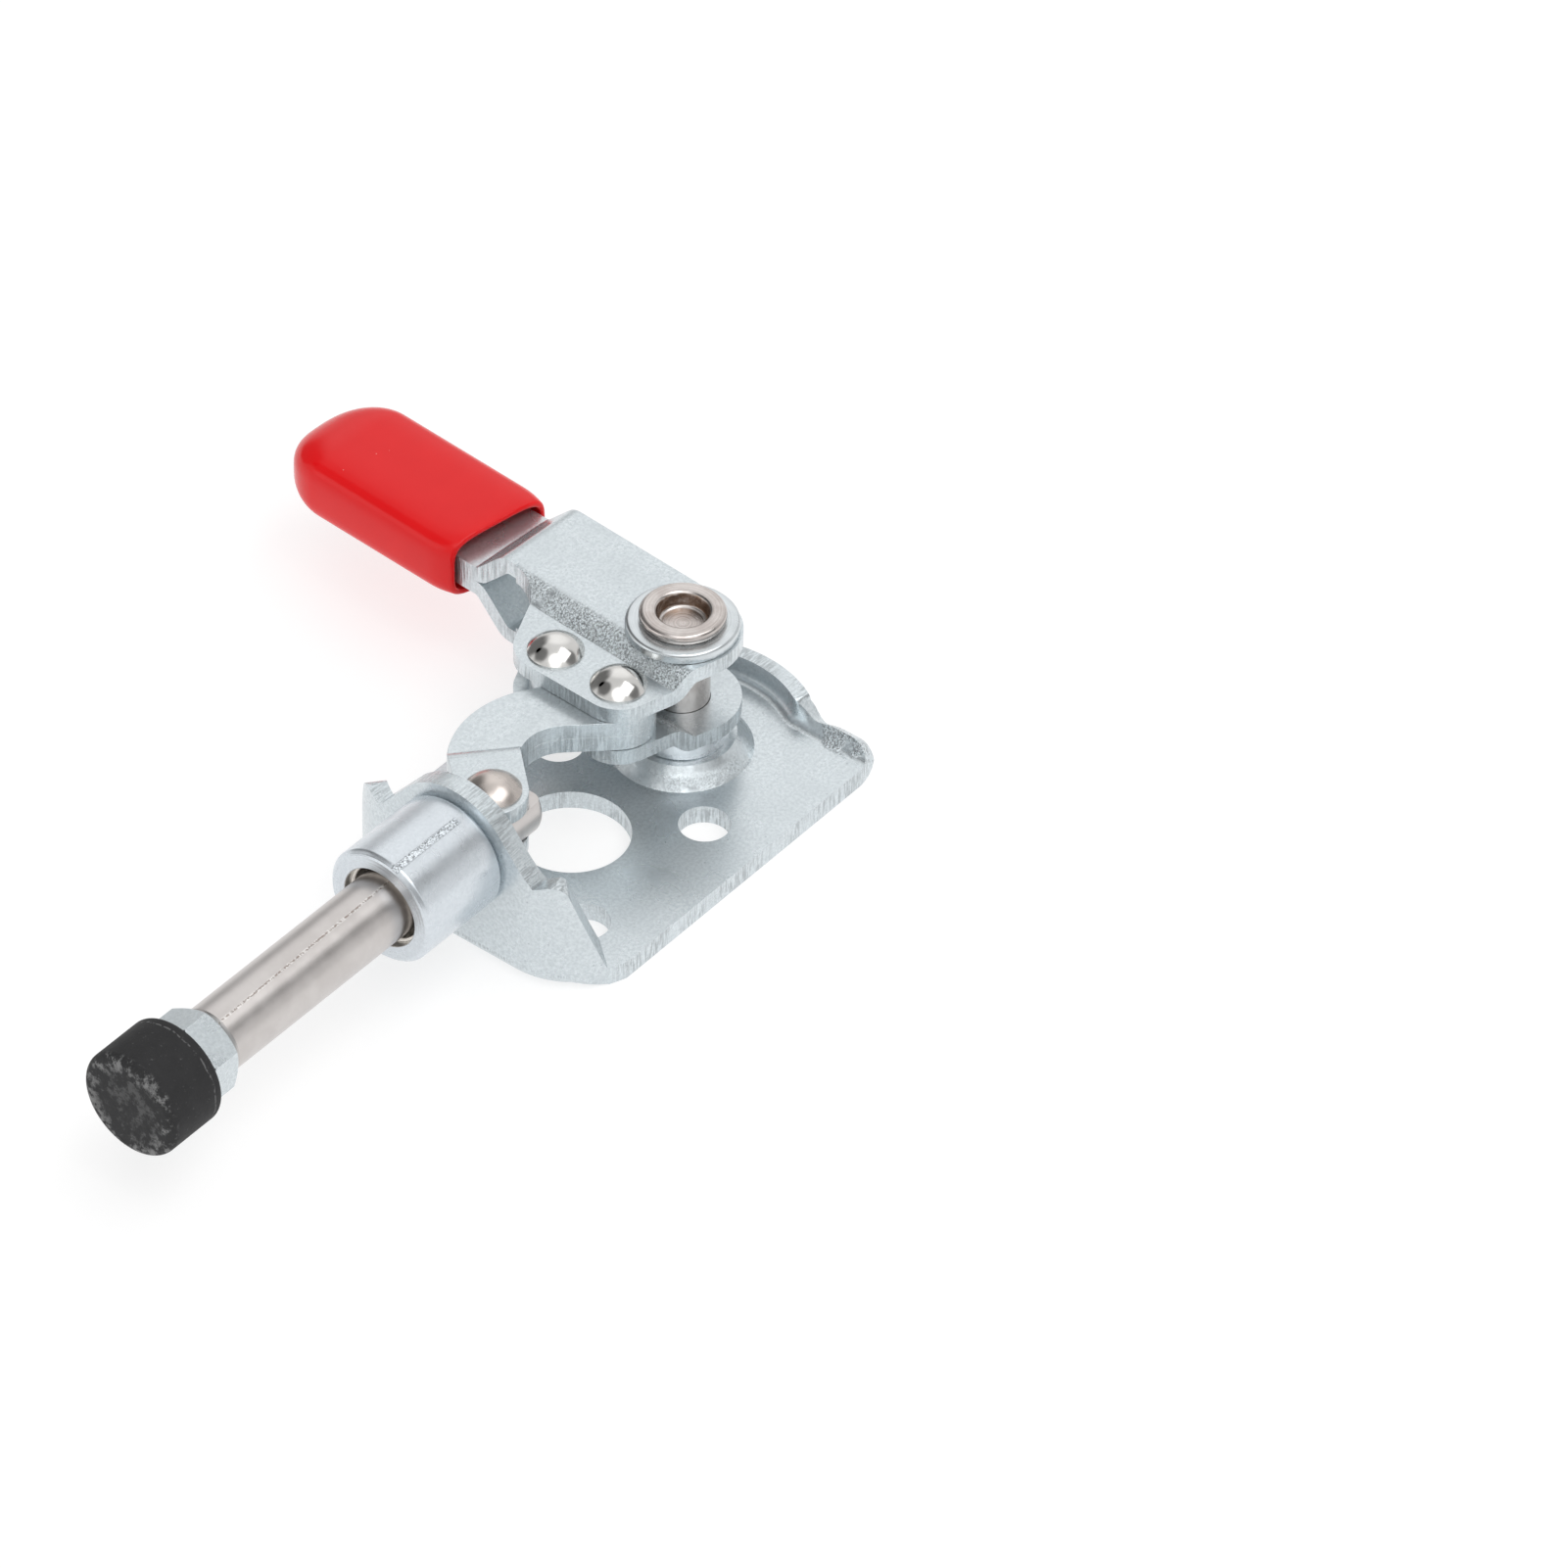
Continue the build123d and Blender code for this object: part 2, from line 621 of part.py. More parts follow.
# ---- link ----------------------------------------------------------------------------------
# Each ply is a flat crescent that steps outwards, along a slanting crease, before its fork end.
fork_dir = link_plane.x_dir.rotate(Axis.Z, fork_climb_angle)
fork_side = Plane(
    link_plane.from_local_coords(Vector(*fork_crease, 0)),
    x_dir=fork_dir,
    z_dir=fork_dir.cross(Vector(0, 0, 1)),
)
arm_dir = Vector(1, 0).rotate(Axis.Z, arm_angle)
fork_arm_dir = Vector(1, 0).rotate(Axis.Z, fork_arm_angle)
throat_mid = Vector(*throat_centre)
fork_end = Vector(link_length, 0)
with BuildPart() as link_upper_ply:
    with BuildSketch(fork_side.offset(-2 * link_length)):
        with BuildLine():
            under = FilletPolyline(
                (-2 * link_length, axis_z),
                (under_shift, axis_z),
                (under_shift + fork_lift, fork_under_z),
                (2 * link_length, fork_under_z),
                radius=(crease_r + plate, crease_r),
            )
            top = FilletPolyline(
                (-2 * link_length, axis_z + plate),
                (0, axis_z + plate),
                (fork_lift, fork_top_z),
                (2 * link_length, fork_top_z),
                radius=(crease_r, crease_r + plate),
            )
            Line(top @ 0, under @ 0)
            Line(top @ 1, under @ 1)
        make_face()
    extrude(amount=4 * link_length)
    with BuildSketch(link_plane):
        with BuildSketch(mode=Mode.PRIVATE) as ends:
            Circle(link_end_r)
            with Locations(fork_end):
                Circle(fork_end_r)
        with BuildSketch(mode=Mode.PRIVATE) as back:
            with Locations(link_back_centre):
                Circle(link_back_r)
        make_hull(ends.sketch.edges() + back.sketch.edges())
        Polygon(
            (-2 * link_end_r, 0),
            (0, 0),
            arm_dir * link_end_r,
            throat_mid - arm_dir * throat_r,
            throat_mid - fork_arm_dir * throat_r,
            fork_end + fork_arm_dir * fork_end_r,
            fork_end,
            (2 * link_length, 0),
            (2 * link_length, 2 * link_back_r),
            (-2 * link_end_r, 2 * link_back_r),
            align=None,
            mode=Mode.SUBTRACT,
        )
        with Locations(throat_centre):
            Circle(throat_r, mode=Mode.SUBTRACT)
        add(ends.sketch)
        Circle(rivet_r + hinge_gap, mode=Mode.SUBTRACT)
        with Locations(fork_end):
            Circle(rivet_r, mode=Mode.SUBTRACT)
    extrude(amount=2 * axis_z, mode=Mode.INTERSECT)
link_upper_ply.part.label = "link_upper_ply"
export_step(link_upper_ply.part, "parts/link_upper_ply.step")

with BuildPart() as link_lower_ply:
    mirror(link_upper_ply.part, about=mid_plane)
link_lower_ply.part.label = "link_lower_ply"
export_step(link_lower_ply.part, "parts/link_lower_ply.step")

# ---- plunger -------------------------------------------------------------------------------
with BuildPart() as plunger_rod:
    with BuildSketch(rod_plane.offset(rod_start_x)):
        Circle(rod_r)
    extrude(amount=rod_end_x - rod_start_x)
    chamfer(edges().filter_by(GeomType.CIRCLE).group_by(Axis.X)[-1], rod_nose)
    with BuildSketch(Plane.XY):
        with Locations((rod_start_x, 0)):
            Rectangle(tang_length, 2 * rod_r, align=(Align.MIN, Align.CENTER))
    extrude(amount=axis_z - tang_half, mode=Mode.SUBTRACT)
    with BuildSketch(Plane.XY.offset(axis_z + tang_half)):
        with Locations((rod_start_x, 0)):
            Rectangle(tang_length, 2 * rod_r, align=(Align.MIN, Align.CENTER))
    extrude(amount=rod_r, mode=Mode.SUBTRACT)
    fillet(edges().filter_by(GeomType.CIRCLE).group_by(Axis.X)[0], tang_corner_r)
    with BuildSketch(Plane(fork_pin)):
        Circle(rivet_r)
    extrude(amount=2 * axis_z, mode=Mode.SUBTRACT)
    with BuildSketch(rod_plane.offset(stud_hole_end_x)):
        Circle(stud_r)
    extrude(amount=rod_end_x - stud_hole_end_x, mode=Mode.SUBTRACT)
plunger_rod.part.label = "plunger_rod"
export_step(plunger_rod.part, "parts/plunger_rod.step")

with BuildPart() as fork_rivet_core:
    with BuildSketch(Plane(fork_pin + Vector(0, 0, axis_z - tang_half))):
        Circle(rivet_r)
    extrude(amount=2 * tang_half)
fork_rivet_core.part.label = "fork_rivet_core"
export_step(fork_rivet_core.part, "parts/fork_rivet_core.step")

with BuildPart() as tip_stud:
    with BuildSketch(rod_plane.offset(stud_start_x)):
        Circle(stud_r)
    extrude(amount=stud_end_x - stud_start_x)
    with BuildSketch(rod_plane.offset(stud_end_x - stud_head_thick)):
        Circle(stud_head_r)
    extrude(amount=stud_head_thick)
tip_stud.part.label = "tip_stud"
export_step(tip_stud.part, "parts/tip_stud.step")

nut_corner_r = nut_across_flats / 2 / cos(radians(30))
with BuildPart() as jam_nut:
    with BuildSketch(rod_plane.offset(nut_x)):
        RegularPolygon(nut_across_flats / 2, 6, major_radius=False, rotation=nut_turn)
        Circle(stud_r, mode=Mode.SUBTRACT)
    extrude(amount=nut_thick)
    nut_bevel = (nut_corner_r - nut_across_flats / 2) * tan(radians(nut_chamfer))
    with BuildSketch(upright((0, 0, axis_z), 0)):
        Polygon(
            (nut_x, 0),
            (nut_x, nut_across_flats / 2),
            (nut_x + nut_bevel, nut_corner_r),
            (nut_x + nut_thick - nut_bevel, nut_corner_r),
            (nut_x + nut_thick, nut_across_flats / 2),
            (nut_x + nut_thick, 0),
            align=None,
        )
    revolve(axis=rod_axis, mode=Mode.INTERSECT)
jam_nut.part.label = "jam_nut"
export_step(jam_nut.part, "parts/jam_nut.step")

with BuildPart() as rubber_tip:
    with BuildSketch(rod_plane.offset(tip_back_x)):
        Circle(tip_r)
    extrude(amount=tip_face_x - tip_back_x)
    fillet(edges().group_by(Axis.X)[-1], tip_face_edge)
    fillet(edges().group_by(Axis.X)[0], tip_back_edge)
    with BuildSketch(rod_plane.offset(tip_back_x)):
        Circle(stud_r)
    extrude(amount=stud_end_x - tip_back_x, mode=Mode.SUBTRACT)
    with BuildSketch(rod_plane.offset(stud_end_x - stud_head_thick)):
        Circle(stud_head_r)
    extrude(amount=stud_head_thick, mode=Mode.SUBTRACT)
rubber_tip.part.label = "rubber_tip"
export_step(rubber_tip.part, "parts/rubber_tip.step")
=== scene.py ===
import json
import math

import bmesh
import bpy
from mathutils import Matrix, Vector

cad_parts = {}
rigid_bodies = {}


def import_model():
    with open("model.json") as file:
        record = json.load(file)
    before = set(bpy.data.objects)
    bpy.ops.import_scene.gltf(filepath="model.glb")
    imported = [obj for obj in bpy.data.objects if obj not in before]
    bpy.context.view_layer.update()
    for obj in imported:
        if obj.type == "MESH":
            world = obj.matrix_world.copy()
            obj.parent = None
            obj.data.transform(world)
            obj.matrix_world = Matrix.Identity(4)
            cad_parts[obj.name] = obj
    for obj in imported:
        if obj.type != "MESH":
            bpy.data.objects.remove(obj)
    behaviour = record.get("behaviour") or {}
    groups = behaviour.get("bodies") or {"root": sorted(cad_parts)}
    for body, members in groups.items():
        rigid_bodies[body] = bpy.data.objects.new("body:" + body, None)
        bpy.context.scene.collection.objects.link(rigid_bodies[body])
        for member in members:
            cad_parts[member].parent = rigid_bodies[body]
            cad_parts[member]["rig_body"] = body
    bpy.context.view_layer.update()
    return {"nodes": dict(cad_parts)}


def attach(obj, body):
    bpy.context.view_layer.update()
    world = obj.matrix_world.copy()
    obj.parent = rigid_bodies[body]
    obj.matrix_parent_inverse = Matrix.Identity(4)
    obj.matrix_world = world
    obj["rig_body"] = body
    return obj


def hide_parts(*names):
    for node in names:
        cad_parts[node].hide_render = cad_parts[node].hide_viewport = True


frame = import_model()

mm = 0.001

# ---- Studio ---------------------------------------------------------------------------------
# A pale floor in a bright, even room, with a soft box overhead and a few darker cards that give
# the polished parts something to reflect. The camera looks down on the plunger's end.
bpy.context.scene.view_settings.view_transform = "Standard"

camera_data = bpy.data.cameras.new("camera")
camera_data.lens = 212.375
camera_data.sensor_width = 36
camera_data.clip_start = 0.05
camera = bpy.data.objects.new("camera", camera_data)
camera.location = (0.453198, 0.369067, 0.519125)
camera.rotation_euler = [math.radians(turn) for turn in (48.79674, -1.19170, 128.45221)]
bpy.context.scene.collection.objects.link(camera)
bpy.context.scene.camera = camera


def add_node(tree, kind, settings=None, **inputs):
    """One node of a tree. Each input, by name or as i0, i1, is a plain value or a socket to wire."""
    made = tree.nodes.new(kind)
    for name, value in (settings or {}).items():
        setattr(made, name, value)
    for name, value in inputs.items():
        key = int(name[1:]) if name[0] == "i" and name[1:].isdigit() else name.replace("_", " ")
        if isinstance(value, bpy.types.NodeSocket):
            tree.links.new(value, made.inputs[key])
        else:
            made.inputs[key].default_value = value
    return made


def maths(tree, operation, a, b=0.0, c=0.0):
    """One sum on numbers or sockets."""
    return add_node(tree, "ShaderNodeMath", {"operation": operation}, i0=a, i1=b, i2=c).outputs[0]


def between(tree, value, low, high):
    """0 at low and 1 at high, eased; low may be the larger one."""
    made = add_node(tree, "ShaderNodeMapRange", {"interpolation_type": "SMOOTHSTEP"}, Value=value)
    made.inputs["From Min"].default_value = low
    made.inputs["From Max"].default_value = high
    return made.outputs[0]


# Each card or opening of the room: the way to it, the cosines at its edge and its core, and what
# it adds to the room's tone.
room_tone = 0.80
room_cards = (
    ((0.40, 0.32, 0.86), 0.91, 0.96, 1.10),
    ((-0.60, -0.42, 0.66), 0.86, 0.97, 0.32),
    ((-0.10, -0.93, 0.40), 0.84, 0.94, -0.62),
    ((-0.32, 0.62, 0.72), 0.90, 0.96, -0.60),
    ((0.45, -0.52, 0.73), 0.90, 0.96, -0.62),
    ((0.80, 0.60, 0.15), 0.86, 0.95, -0.45),
    ((0.85, -0.45, 0.25), 0.93, 0.98, 0.60),
)
world = bpy.data.worlds.new("studio")
bpy.context.scene.world = world
world.use_nodes = True
room = world.node_tree
room.nodes.clear()
look = add_node(room, "ShaderNodeTexCoord").outputs["Generated"]
tone = room_tone
for direction, edge, core, change in room_cards:
    aim = Vector(direction).normalized()
    nearness = add_node(room, "ShaderNodeVectorMath", {"operation": "DOT_PRODUCT"}, i0=look, i1=aim)
    card = between(room, nearness.outputs["Value"], edge, core)
    tone = maths(room, "MULTIPLY_ADD", card, change, tone)
room_light = add_node(room, "ShaderNodeBackground", Color=tone)
add_node(room, "ShaderNodeOutputWorld", Surface=room_light.outputs[0])

lamp_data = bpy.data.lights.new("overhead_box", "AREA")
lamp_data.shape = "RECTANGLE"
lamp_data.size = 0.8
lamp_data.size_y = 0.6
lamp_data.energy = 3.2
lamp = bpy.data.objects.new("overhead_box", lamp_data)
lamp.location = (-0.15, 0.45, 1.0)
lamp.rotation_euler = (-lamp.location).to_track_quat("-Z", "Y").to_euler()
bpy.context.scene.collection.objects.link(lamp)

floor_reach = 4.0
floor_z = -0.1 * mm
floor_mesh = bpy.data.meshes.new("floor")
floor_corners = [
    (x * floor_reach, y * floor_reach, floor_z) for x, y in ((-1, -1), (1, -1), (1, 1), (-1, 1))
]
floor_mesh.from_pydata(floor_corners, [], [(0, 1, 2, 3)])
floor = bpy.data.objects.new("floor", floor_mesh)
bpy.context.scene.collection.objects.link(floor)
paper = bpy.data.materials.new("lit_white_paper")
paper.use_nodes = True
paper_surface = paper.node_tree.nodes["Principled BSDF"]
paper_surface.inputs["Base Color"].default_value = (0.36, 0.36, 0.36, 1)
paper_surface.inputs["Roughness"].default_value = 1.0
paper_surface.inputs["Specular IOR Level"].default_value = 0.0
paper_surface.inputs["Emission Color"].default_value = (1, 1, 1, 1)
paper_surface.inputs["Emission Strength"].default_value = 0.70
floor_mesh.materials.append(paper)

# ---- Base -----------------------------------------------------------------------------------
# The base is stamped and drawn from 1.8 mm sheet, then zinc plated. The plating is bright, with
# fine pits and a faint blue cast, and lies coarser over the punched edges and where the sheet
# was stretched most.
sheet = 1.8
half_width = 13.9
pivot_x = -14.7


def moved(tree, place, shift=(0, 0, 0), stretch=(1, 1, 1)):
    """The place, stretched and then shifted, in metres."""
    return add_node(tree, "ShaderNodeMapping", Vector=place, Location=shift, Scale=stretch).outputs[0]


def split(tree, place):
    """The X, Y and Z of a place."""
    return add_node(tree, "ShaderNodeSeparateXYZ", Vector=place).outputs


def facing(tree):
    """The X, Y and Z of the way that the surface faces."""
    return split(tree, add_node(tree, "ShaderNodeTexCoord").outputs["Normal"])


def times(tree, *values):
    """The product of two or more values."""
    product = values[0]
    for value in values[1:]:
        product = maths(tree, "MULTIPLY", product, value)
    return product


def cloud(tree, place, per_mm, detail=2.0, rough=0.5):
    """Noise with that many features to the millimetre."""
    return add_node(
        tree, "ShaderNodeTexNoise", Vector=place, Scale=per_mm / mm, Detail=detail, Roughness=rough
    ).outputs[0]


def mixed(tree, factor, a, b, how="MIX"):
    """Colour a, and colour b where the factor is 1."""
    made = add_node(tree, "ShaderNodeMix", {"data_type": "RGBA", "blend_type": how})
    for number, value in ((0, factor), (6, a), (7, b)):
        if isinstance(value, bpy.types.NodeSocket):
            tree.links.new(value, made.inputs[number])
        else:
            made.inputs[number].default_value = value if number == 0 else (*value, 1)
    return made.outputs[2]


def shaded(tree, where, colour, shade):
    """The colour, times the shade where the mask is 1."""
    return mixed(tree, where, colour, mixed(tree, 1.0, colour, shade, "MULTIPLY"))


def from_axis(tree, place, centre, across):
    """Distance from an axis through centre, in metres; across is 1 along the two axes it is square to."""
    away = moved(tree, place, [-c * mm for c in centre])
    away = add_node(tree, "ShaderNodeVectorMath", {"operation": "MULTIPLY"}, i0=away, i1=across).outputs[0]
    return add_node(tree, "ShaderNodeVectorMath", {"operation": "LENGTH"}, i0=away).outputs["Value"]


def in_grains(tree, place, size):
    """The place, counted in grains of that size in millimetres."""
    per_metre = maths(tree, "DIVIDE", 1.0 / mm, size)
    made = add_node(tree, "ShaderNodeVectorMath", {"operation": "SCALE"}, i0=place, Scale=per_metre)
    return made.outputs[0]


def new_group(name, takes, gives):
    """A shader node group. takes is name to number or colour; gives is name to kind of socket."""
    group = bpy.data.node_groups.new(name, "ShaderNodeTree")
    for key, value in takes.items():
        kind = "NodeSocketFloat" if isinstance(value, (int, float)) else "NodeSocketColor"
        made = group.interface.new_socket(name=key, in_out="INPUT", socket_type=kind)
        made.default_value = value if kind == "NodeSocketFloat" else (*value, 1)
    for key, kind in gives.items():
        group.interface.new_socket(name=key, in_out="OUTPUT", socket_type="NodeSocket" + kind)
    here = add_node(group, "ShaderNodeTexCoord").outputs["Object"]
    return group, add_node(group, "NodeGroupInput").outputs, here


def placed(tree, group, **inputs):
    """Puts a group into a material with its own values."""
    return add_node(tree, "ShaderNodeGroup", {"node_tree": group}, **inputs).outputs


zinc, given, here = new_group(
    "zinc_plating",
    {"Grain": 0.3, "Pitting": 0.5, "Pale": (0.69, 0.743, 0.768), "Deep": (0.56, 0.61, 0.635)},
    {"Color": "Color", "Roughness": "Float", "Height": "Float"},
)
pit_tone = (0.36, 0.39, 0.42)
grains = in_grains(zinc, here, given["Grain"])
fine = add_node(zinc, "ShaderNodeTexNoise", Vector=grains, Scale=1.0, Detail=3.0, Roughness=0.65).outputs[0]
soft = cloud(zinc, here, 0.30)
specks = add_node(zinc, "ShaderNodeTexVoronoi", Vector=here, Scale=1.7 / mm).outputs
speck_kind = add_node(zinc, "ShaderNodeSeparateColor", Color=specks["Color"]).outputs[0]
pits = times(
    zinc,
    between(zinc, specks["Distance"], 0.22, 0.06),
    between(zinc, speck_kind, 0.86, 0.90),
    given["Pitting"],
)
tone = mixed(zinc, between(zinc, fine, 0.30, 0.70), given["Deep"], given["Pale"])
tone = mixed(zinc, times(zinc, between(zinc, soft, 0.45, 0.75), 0.22), tone, given["Deep"])
tone = mixed(zinc, times(zinc, pits, 0.8), tone, pit_tone)
add_node(
    zinc,
    "NodeGroupOutput",
    Color=tone,
    Roughness=maths(zinc, "MULTIPLY_ADD", soft, 0.16, 0.20),
    Height=maths(zinc, "SUBTRACT", times(zinc, fine, 0.5), pits),
)

# Coarse bright and dark crystals, where the plating stood over stretched steel.
spangle, given, here = new_group("spangle", {"Size": 0.20}, {"Shade": "Float", "Height": "Float"})
grains = in_grains(spangle, here, given["Size"])
crumbs = add_node(spangle, "ShaderNodeTexNoise", Vector=grains, Scale=0.8, Detail=4.0, Roughness=0.75)
crumbs = crumbs.outputs[0]
add_node(
    spangle,
    "NodeGroupOutput",
    Shade=maths(spangle, "MULTIPLY_ADD", between(spangle, crumbs, 0.40, 0.58), 0.95, 0.40),
    Height=times(spangle, crumbs, 2.0),
)

# Fine shear lines through the thickness of a punched edge, stronger where the metal tore.
sheared, given, here = new_group("sheared_edge", {"Lines": 5.0}, {"Shade": "Float", "Height": "Float"})
lines_per_metre = maths(sheared, "DIVIDE", given["Lines"], mm)
upright, level = [
    add_node(sheared, "ShaderNodeTexNoise", Vector=place, Scale=lines_per_metre, Detail=2.0).outputs[0]
    for place in (moved(sheared, here, stretch=(1, 1, 0.1)), moved(sheared, here, stretch=(0.1, 1, 1)))
]
lies_flat = between(sheared, maths(sheared, "ABSOLUTE", facing(sheared)["Z"]), 0.3, 0.5)
lines = between(sheared, mixed(sheared, lies_flat, upright, level), 0.38, 0.62)
torn = between(sheared, cloud(sheared, here, 0.22), 0.40, 0.60)
lines = times(sheared, lines, maths(sheared, "MULTIPLY_ADD", torn, 0.75, 0.25))
add_node(sheared, "NodeGroupOutput", Shade=maths(sheared, "MULTIPLY_ADD", lines, -0.34, 1.06), Height=lines)


def new_finish(name):
    """A bare material: itself, its tree, its one Principled surface, and the place on the piece."""
    material = bpy.data.materials.new(name)
    material.use_nodes = True
    tree = material.node_tree
    here = add_node(tree, "ShaderNodeTexCoord").outputs["Object"]
    return material, tree, tree.nodes["Principled BSDF"], here


def surface(tree, bsdf, colour, roughness, height, depth, metallic=1.0):
    """Wires the three maps into the surface; depth is the relief in millimetres."""
    tree.links.new(colour, bsdf.inputs["Base Color"])
    tree.links.new(roughness, bsdf.inputs["Roughness"])
    bsdf.inputs["Metallic"].default_value = metallic
    bump = add_node(tree, "ShaderNodeBump", Height=height, Distance=depth * mm, Strength=1.0)
    tree.links.new(bump.outputs[0], bsdf.inputs["Normal"])


def zinc_finish(name, grain=0.3, pitting=0.6, depth=0.008, lines=0.0, crystals_at=None):
    """Bright zinc plate. lines adds shear marks; crystals_at makes a mask of where it lies coarse."""
    material, tree, bsdf, here = new_finish(name)
    plate = placed(tree, zinc, Grain=grain, Pitting=pitting)
    colour, relief = plate["Color"], plate["Height"]
    if lines:
        edge = placed(tree, sheared, Lines=lines)
        colour = mixed(tree, 1.0, colour, edge["Shade"], "MULTIPLY")
        relief = maths(tree, "SUBTRACT", relief, times(tree, edge["Height"], 1.5))
    if crystals_at:
        where = crystals_at(tree, here)
        coarse = placed(tree, spangle, Size=0.14)
        colour = shaded(tree, where, colour, coarse["Shade"])
        relief = maths(tree, "MULTIPLY_ADD", times(tree, coarse["Height"], where), 7.0, relief)
    surface(tree, bsdf, colour, plate["Roughness"], relief, depth, 0.80)
    return material


def softened(node_name, material, width, angle=30, edge_material=None, is_edge=None, formed=None):
    """A CAD node copied, or formed further, as one clean mesh with its sharp edges rounded."""
    source = frame["nodes"][node_name]
    mesh = formed or source.data.copy()
    mesh.materials.clear()
    mesh.materials.append(material)
    if edge_material:
        mesh.materials.append(edge_material)
    form = bmesh.new()
    form.from_mesh(mesh)
    bmesh.ops.remove_doubles(form, verts=form.verts, dist=0.002 * mm)
    bmesh.ops.dissolve_limit(form, angle_limit=math.radians(0.5), verts=form.verts, edges=form.edges)
    for face in form.faces:
        face.smooth = True
        face.material_index = int(bool(is_edge and is_edge(face)))
    for edge in form.edges:
        edge.smooth = edge.calc_face_angle(0) < math.radians(angle)
    form.to_mesh(mesh)
    form.free()
    piece = bpy.data.objects.new(node_name + "_skin", mesh)
    bpy.context.scene.collection.objects.link(piece)
    if width:
        rounding = piece.modifiers.new("rounding", "BEVEL")
        rounding.width = width * mm
        rounding.segments = 3
        rounding.limit_method = "ANGLE"
        rounding.angle_limit = math.radians(angle)
        piece.modifiers.new("shading", "WEIGHTED_NORMAL").keep_sharp = False
        made = bpy.data.meshes.new_from_object(piece.evaluated_get(bpy.context.evaluated_depsgraph_get()))
        piece.modifiers.clear()
        piece.data = made
    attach(piece, source["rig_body"])
    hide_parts(node_name)
    return piece


def eased(share):
    """0 below 0 and 1 above 1, with a smooth rise between."""
    share = min(max(share, 0.0), 1.0)
    return share * share * (3 - 2 * share)


def add_mesh(name, points, faces):
    """An object made from points in millimetres."""
    mesh = bpy.data.meshes.new(name)
    mesh.from_pydata([[c * mm for c in point] for point in points], [], faces)
    made = bpy.data.objects.new(name, mesh)
    bpy.context.scene.collection.objects.link(made)
    return made


def side_faces(ring_count, ring_size):
    """The faces between neighbouring rings of points, all round."""
    faces = []
    for near in range(0, (ring_count - 1) * ring_size, ring_size):
        far = near + ring_size
        for point in range(ring_size):
            after = (point + 1) % ring_size
            faces.append((near + point, far + point, far + after, near + after))
    return faces


# The rear edge is drawn up into a rim round the pivot, and runs on into a low curled lip with a
# rounded corner. Stations along its foot each carry one section of the bent sheet.
rim_foot_r = 9.2
lip_foot_x = -22.35
lip_corner_r = 2.5
blend_r = 3.0  # the foot's turn from the rim into the lip
rim_bend, lip_bend = 85, 52  # how far the sheet turns up, in degrees
rim_bend_r, lip_bend_r = 1.0, 0.9
rim_rise, lip_rise = 2.2, 1.2
lip_starts_y, lip_full_y = 4.6, 8.3
dip_y, dip_spread, dip_depth = 7.6, 1.1, 0.25  # the low place beside the rim's end
thinned, thins_over = 0.32, 1.5  # what drawing takes off the sheet, and how far past the foot
lead = 1.6  # how far each section starts inside the foot
arc_steps, run_steps, section_steps = 40, 16, 18

blend_x = lip_foot_x - blend_r
blend_y = math.sqrt((rim_foot_r + blend_r) ** 2 - (blend_x - pivot_x) ** 2)
blend_angle = math.atan2(blend_y, pivot_x - blend_x)
corner_y = half_width - lip_corner_r
backward = Vector((-1, 0))
stations = []
for step in range(arc_steps + 1):
    angle = blend_angle * step / arc_steps
    outward = Vector((-math.cos(angle), math.sin(angle)))
    stations.append((Vector((pivot_x, 0)) + rim_foot_r * outward, outward))
for step in range(1, run_steps + 1):
    angle = blend_angle * (1 - step / run_steps)
    outward = Vector((-math.cos(angle), math.sin(angle)))
    stations.append((Vector((blend_x, blend_y)) - blend_r * outward, outward))
for step in range(1, run_steps + 1):
    stations.append((Vector((lip_foot_x, blend_y + (corner_y - blend_y) * step / run_steps)), backward))
for step in range(1, run_steps + 1):
    y = corner_y + lip_corner_r * math.sin(math.pi / 2 * step / run_steps)
    stations.append((Vector((lip_foot_x, y)), backward))


def rear_section(foot, outward):
    """The ring of points round the bent sheet at one station."""
    is_lip = eased((foot.y - lip_starts_y) / (lip_full_y - lip_starts_y))
    bend = math.radians(rim_bend + (lip_bend - rim_bend) * is_lip)
    radius = rim_bend_r + (lip_bend_r - rim_bend_r) * is_lip
    dip = dip_depth * math.exp(-(((foot.y - dip_y) / dip_spread) ** 2))
    rise = rim_rise + (lip_rise - rim_rise) * is_lip - dip
    length = radius * bend + (rise - radius * (1 - math.cos(bend))) / math.sin(bend)
    if foot.y > corner_y:
        length -= lip_corner_r * (1 - math.sqrt(max(0, 1 - ((foot.y - corner_y) / lip_corner_r) ** 2)))
    inside, outside = [], []
    for step in range(section_steps + 1):
        along = -lead + (length + lead) * step / section_steps
        turn = min(max(along / radius, 0), bend)
        flat, lift = along, 0
        if along >= 0:
            flat = radius * math.sin(turn) + (along - radius * turn) * math.cos(turn)
            lift = radius * (1 - math.cos(turn)) + (along - radius * turn) * math.sin(turn)
        thickness = sheet - thinned * eased(along / thins_over)
        for side, depth in ((inside, 0), (outside, thickness)):
            place = foot + outward * (flat + depth * math.sin(turn))
            side.append((place.x, place.y, sheet + lift - depth * math.cos(turn)))
    return inside + outside[::-1]


half_rings = [rear_section(foot, outward) for foot, outward in stations]
edge_rings = [[(x, -y, z) for x, y, z in ring] for ring in half_rings[:0:-1]] + half_rings
ring_size = len(edge_rings[0])
edge_faces = side_faces(len(edge_rings), ring_size)
for ring in (0, len(edge_rings) - 1):
    for j in range(ring_size // 2 - 1):
        cap = [ring * ring_size + k for k in (j, j + 1, ring_size - 2 - j, ring_size - 1 - j)]
        edge_faces.append(cap if ring else cap[::-1])
formed_edge = add_mesh("formed_edge", [point for ring in edge_rings for point in ring], edge_faces)

